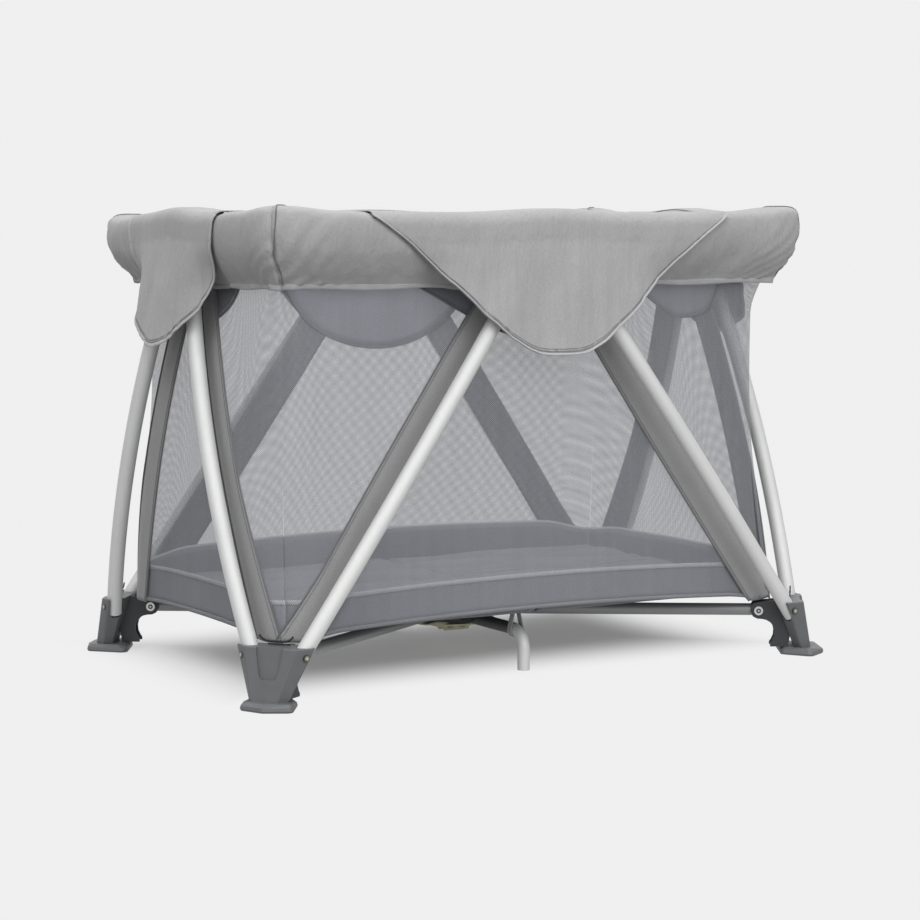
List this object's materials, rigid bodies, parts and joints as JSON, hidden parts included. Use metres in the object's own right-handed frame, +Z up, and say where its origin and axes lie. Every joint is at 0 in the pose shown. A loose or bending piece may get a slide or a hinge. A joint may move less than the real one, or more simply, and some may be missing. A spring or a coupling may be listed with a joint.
{
  "type": "travel play yard",
  "caption": "Folding play yard: padded rim, see-through mesh walls and a quilted mattress in a frame of leaning leg tubes on corner feet, with folding base rails and a central hub.",
  "frame": {"origin": "centre of the overall box, on the floor under the feet", "axes": "+X along the length, +Y to the rear long side, +Z up; the picture shows the -Y and -X sides"},
  "size_m": [1.088, 0.724, 0.741],
  "materials": {
    "satin_tube": "satin",
    "dark_moulded": "fine matt",
    "black_moulded": "matt",
    "grey_rail": "satin",
    "bright_steel": "bright",
    "khaki_plate": "satin",
    "rim_fabric": "woven",
    "mesh_fabric": "open mesh",
    "quilt_fabric": "quilted",
    "floor_fabric": "woven"
  },
  "bodies": {
    "foot_fl": {"foot_shell_fl": "dark_moulded", "foot_fork_fl": "black_moulded", "rail_bolt_fl": "bright_steel"},
    "base_rail_fl_body": {"base_rail_fl": "grey_rail"},
    "long_leg_fl_body": {"long_leg_fl": "satin_tube"},
    "short_leg_fl_body": {"short_leg_fl": "satin_tube"},
    "top_rail_long_fl_body": {"top_rail_long_fl": "grey_rail", "corner_joint_fl": "black_moulded"},
    "top_rail_short_fl_body": {"top_rail_short_fl": "grey_rail"},
    "foot_fr": {"foot_shell_fr": "dark_moulded", "foot_fork_fr": "black_moulded", "rail_bolt_fr": "bright_steel"},
    "base_rail_fr_body": {"base_rail_fr": "grey_rail"},
    "long_leg_fr_body": {"long_leg_fr": "satin_tube"},
    "short_leg_fr_body": {"short_leg_fr": "satin_tube"},
    "top_rail_long_fr_body": {"top_rail_long_fr": "grey_rail", "corner_joint_fr": "black_moulded"},
    "top_rail_short_fr_body": {"top_rail_short_fr": "grey_rail"},
    "foot_rl": {"foot_shell_rl": "dark_moulded", "foot_fork_rl": "black_moulded", "rail_bolt_rl": "bright_steel"},
    "base_rail_rl_body": {"base_rail_rl": "grey_rail"},
    "long_leg_rl_body": {"long_leg_rl": "satin_tube"},
    "short_leg_rl_body": {"short_leg_rl": "satin_tube"},
    "top_rail_long_rl_body": {"top_rail_long_rl": "grey_rail", "corner_joint_rl": "black_moulded"},
    "top_rail_short_rl_body": {"top_rail_short_rl": "grey_rail"},
    "foot_rr": {"foot_shell_rr": "dark_moulded", "foot_fork_rr": "black_moulded", "rail_bolt_rr": "bright_steel"},
    "base_rail_rr_body": {"base_rail_rr": "grey_rail"},
    "long_leg_rr_body": {"long_leg_rr": "satin_tube"},
    "short_leg_rr_body": {"short_leg_rr": "satin_tube"},
    "top_rail_long_rr_body": {"top_rail_long_rr": "grey_rail", "corner_joint_rr": "black_moulded"},
    "top_rail_short_rr_body": {"top_rail_short_rr": "grey_rail"},
    "hub": {"hub_housing": "black_moulded", "hub_plate": "khaki_plate", "plate_rivet_1": "bright_steel", "plate_rivet_2": "bright_steel", "plate_rivet_3": "bright_steel", "plate_rivet_4": "bright_steel", "floor_panel": "floor_fabric", "mattress": "quilt_fabric"},
    "fold_handle_body": {"fold_handle": "dark_moulded"},
    "support_leg_front_body": {"support_leg_front": "satin_tube"},
    "support_leg_rear_body": {"support_leg_rear": "satin_tube"},
    "side_hub_front_body": {"side_hub_front": "black_moulded", "wall_front": "mesh_fabric", "rim_cover_front": "rim_fabric"},
    "side_hub_rear_body": {"side_hub_rear": "black_moulded", "wall_rear": "mesh_fabric", "rim_cover_rear": "rim_fabric"},
    "side_hub_left_body": {"side_hub_left": "black_moulded", "wall_left": "mesh_fabric", "rim_cover_left": "rim_fabric"},
    "side_hub_right_body": {"side_hub_right": "black_moulded", "wall_right": "mesh_fabric", "rim_cover_right": "rim_fabric"}
  },
  "joints": [
    {"name": "fold", "type": "hinge", "parent": "foot_fl", "child": "base_rail_fl_body", "pos_m": [-0.43059, -0.27702, 0.073], "axis": [0.541, -0.841, 0], "range_deg": [0, 85], "deforming": ["wall_front", "wall_rear", "wall_left", "wall_right", "rim_cover_front", "rim_cover_rear", "rim_cover_left", "rim_cover_right", "floor_panel", "mattress"]},
    {"name": "hub_level", "type": "hinge", "parent": "base_rail_fl_body", "child": "hub", "pos_m": [-0.04205, -0.02705, 0.073], "axis": [0.541, -0.841, 0], "range_deg": [-85.02, 0]},
    {"name": "base_rail_fr_hinge", "type": "hinge", "parent": "hub", "child": "base_rail_fr_body", "pos_m": [0.04205, -0.02705, 0.073], "axis": [0.541, 0.841, 0], "range_deg": [0, 85.02]},
    {"name": "foot_fr_hinge", "type": "hinge", "parent": "base_rail_fr_body", "child": "foot_fr", "pos_m": [0.43059, -0.27702, 0.073], "axis": [0.541, 0.841, 0], "range_deg": [-85.02, 0]},
    {"name": "base_rail_rl_hinge", "type": "hinge", "parent": "hub", "child": "base_rail_rl_body", "pos_m": [-0.04205, 0.02705, 0.073], "axis": [-0.541, -0.841, 0], "range_deg": [0, 85.02]},
    {"name": "foot_rl_hinge", "type": "hinge", "parent": "base_rail_rl_body", "child": "foot_rl", "pos_m": [-0.43059, 0.27702, 0.073], "axis": [-0.541, -0.841, 0], "range_deg": [-85.02, 0]},
    {"name": "base_rail_rr_hinge", "type": "hinge", "parent": "hub", "child": "base_rail_rr_body", "pos_m": [0.04205, 0.02705, 0.073], "axis": [-0.541, 0.841, 0], "range_deg": [0, 85.02]},
    {"name": "foot_rr_hinge", "type": "hinge", "parent": "base_rail_rr_body", "child": "foot_rr", "pos_m": [0.43059, 0.27702, 0.073], "axis": [-0.541, 0.841, 0], "range_deg": [-85.02, 0]},
    {"name": "long_leg_fl_hinge", "type": "hinge", "parent": "foot_fl", "child": "long_leg_fl_body", "pos_m": [-0.453, -0.331, 0.078], "axis": [0, -1, 0], "range_deg": [0, 29.3]},
    {"name": "short_leg_fl_hinge", "type": "hinge", "parent": "foot_fl", "child": "short_leg_fl_body", "pos_m": [-0.503, -0.268, 0.078], "axis": [1, 0, 0], "range_deg": [0, 20.36]},
    {"name": "long_leg_fr_hinge", "type": "hinge", "parent": "foot_fr", "child": "long_leg_fr_body", "pos_m": [0.453, -0.331, 0.078], "axis": [0, 1, 0], "range_deg": [0, 29.3]},
    {"name": "short_leg_fr_hinge", "type": "hinge", "parent": "foot_fr", "child": "short_leg_fr_body", "pos_m": [0.503, -0.268, 0.078], "axis": [1, 0, 0], "range_deg": [0, 20.36]},
    {"name": "long_leg_rl_hinge", "type": "hinge", "parent": "foot_rl", "child": "long_leg_rl_body", "pos_m": [-0.453, 0.331, 0.078], "axis": [0, -1, 0], "range_deg": [0, 29.3]},
    {"name": "short_leg_rl_hinge", "type": "hinge", "parent": "foot_rl", "child": "short_leg_rl_body", "pos_m": [-0.503, 0.268, 0.078], "axis": [-1, 0, 0], "range_deg": [0, 20.36]},
    {"name": "long_leg_rr_hinge", "type": "hinge", "parent": "foot_rr", "child": "long_leg_rr_body", "pos_m": [0.453, 0.331, 0.078], "axis": [0, 1, 0], "range_deg": [0, 29.3]},
    {"name": "short_leg_rr_hinge", "type": "hinge", "parent": "foot_rr", "child": "short_leg_rr_body", "pos_m": [0.503, 0.268, 0.078], "axis": [-1, 0, 0], "range_deg": [0, 20.36]},
    {"name": "side_hub_front_hinge", "type": "hinge", "parent": "long_leg_fl_body", "child": "side_hub_front_body", "pos_m": [-0.02, -0.3, 0.69], "axis": [0, -1, 0], "range_deg": [-29.3, 0]},
    {"name": "side_hub_rear_hinge", "type": "hinge", "parent": "long_leg_rr_body", "child": "side_hub_rear_body", "pos_m": [0.02, 0.3, 0.69], "axis": [0, 1, 0], "range_deg": [-29.3, 0]},
    {"name": "side_hub_left_hinge", "type": "hinge", "parent": "short_leg_rl_body", "child": "side_hub_left_body", "pos_m": [-0.485, 0.02, 0.69], "axis": [-1, 0, 0], "range_deg": [-20.36, 0]},
    {"name": "side_hub_right_hinge", "type": "hinge", "parent": "short_leg_fr_body", "child": "side_hub_right_body", "pos_m": [0.485, -0.02, 0.69], "axis": [1, 0, 0], "range_deg": [-20.36, 0]},
    {"name": "top_rail_long_fl_hinge", "type": "hinge", "parent": "side_hub_front_body", "child": "top_rail_long_fl_body", "pos_m": [-0.034, -0.272, 0.716], "axis": [0, -1, 0], "range_deg": [0, 80.02]},
    {"name": "top_rail_short_fl_hinge", "type": "hinge", "parent": "side_hub_left_body", "child": "top_rail_short_fl_body", "pos_m": [-0.457, -0.034, 0.716], "axis": [1, 0, 0], "range_deg": [0, 72.02]},
    {"name": "top_rail_long_fr_hinge", "type": "hinge", "parent": "side_hub_front_body", "child": "top_rail_long_fr_body", "pos_m": [0.034, -0.272, 0.716], "axis": [0, 1, 0], "range_deg": [0, 80.02]},
    {"name": "top_rail_short_fr_hinge", "type": "hinge", "parent": "side_hub_right_body", "child": "top_rail_short_fr_body", "pos_m": [0.457, -0.034, 0.716], "axis": [1, 0, 0], "range_deg": [0, 72.02]},
    {"name": "top_rail_long_rl_hinge", "type": "hinge", "parent": "side_hub_rear_body", "child": "top_rail_long_rl_body", "pos_m": [-0.034, 0.272, 0.716], "axis": [0, -1, 0], "range_deg": [0, 80.02]},
    {"name": "top_rail_short_rl_hinge", "type": "hinge", "parent": "side_hub_left_body", "child": "top_rail_short_rl_body", "pos_m": [-0.457, 0.034, 0.716], "axis": [-1, 0, 0], "range_deg": [0, 72.02]},
    {"name": "top_rail_long_rr_hinge", "type": "hinge", "parent": "side_hub_rear_body", "child": "top_rail_long_rr_body", "pos_m": [0.034, 0.272, 0.716], "axis": [0, 1, 0], "range_deg": [0, 80.02]},
    {"name": "top_rail_short_rr_hinge", "type": "hinge", "parent": "side_hub_right_body", "child": "top_rail_short_rr_body", "pos_m": [0.457, 0.034, 0.716], "axis": [-1, 0, 0], "range_deg": [0, 72.02]},
    {"name": "support_leg_front_hinge", "type": "hinge", "parent": "hub", "child": "support_leg_front_body", "pos_m": [0, -0.072, 0.064], "axis": [1, 0, 0], "range_deg": [0, 88.02]},
    {"name": "support_leg_rear_hinge", "type": "hinge", "parent": "hub", "child": "support_leg_rear_body", "pos_m": [0, 0.072, 0.064], "axis": [-1, 0, 0], "range_deg": [0, 88.02]},
    {"name": "handle_pull", "type": "slide", "parent": "hub", "child": "fold_handle_body", "axis": [0, 0, 1], "range_m": [0, 0.012], "stiffness_N_per_m": 900, "springref_m": -0.004}
  ],
  "couplings": [
    {"joint": "hub_level", "follows": "fold", "ratio": -1},
    {"joint": "base_rail_fr_hinge", "follows": "fold", "ratio": 1},
    {"joint": "foot_fr_hinge", "follows": "fold", "ratio": -1},
    {"joint": "base_rail_rl_hinge", "follows": "fold", "ratio": 1},
    {"joint": "foot_rl_hinge", "follows": "fold", "ratio": -1},
    {"joint": "base_rail_rr_hinge", "follows": "fold", "ratio": 1},
    {"joint": "foot_rr_hinge", "follows": "fold", "ratio": -1},
    {"joint": "long_leg_fl_hinge", "follows": "fold", "ratio": 0.34451},
    {"joint": "short_leg_fl_hinge", "follows": "fold", "ratio": 0.23928},
    {"joint": "long_leg_fr_hinge", "follows": "fold", "ratio": 0.34451},
    {"joint": "short_leg_fr_hinge", "follows": "fold", "ratio": 0.23928},
    {"joint": "long_leg_rl_hinge", "follows": "fold", "ratio": 0.34451},
    {"joint": "short_leg_rl_hinge", "follows": "fold", "ratio": 0.23928},
    {"joint": "long_leg_rr_hinge", "follows": "fold", "ratio": 0.34451},
    {"joint": "short_leg_rr_hinge", "follows": "fold", "ratio": 0.23928},
    {"joint": "side_hub_front_hinge", "follows": "fold", "ratio": -0.34451},
    {"joint": "side_hub_rear_hinge", "follows": "fold", "ratio": -0.34451},
    {"joint": "side_hub_left_hinge", "follows": "fold", "ratio": -0.23928},
    {"joint": "side_hub_right_hinge", "follows": "fold", "ratio": -0.23928},
    {"joint": "top_rail_long_fl_hinge", "follows": "fold", "ratio": 0.94118},
    {"joint": "top_rail_short_fl_hinge", "follows": "fold", "ratio": 0.84706},
    {"joint": "top_rail_long_fr_hinge", "follows": "fold", "ratio": 0.94118},
    {"joint": "top_rail_short_fr_hinge", "follows": "fold", "ratio": 0.84706},
    {"joint": "top_rail_long_rl_hinge", "follows": "fold", "ratio": 0.94118},
    {"joint": "top_rail_short_rl_hinge", "follows": "fold", "ratio": 0.84706},
    {"joint": "top_rail_long_rr_hinge", "follows": "fold", "ratio": 0.94118},
    {"joint": "top_rail_short_rr_hinge", "follows": "fold", "ratio": 0.84706},
    {"joint": "support_leg_front_hinge", "follows": "fold", "ratio": 1.0353},
    {"joint": "support_leg_rear_hinge", "follows": "fold", "ratio": 1.0353}
  ]
}
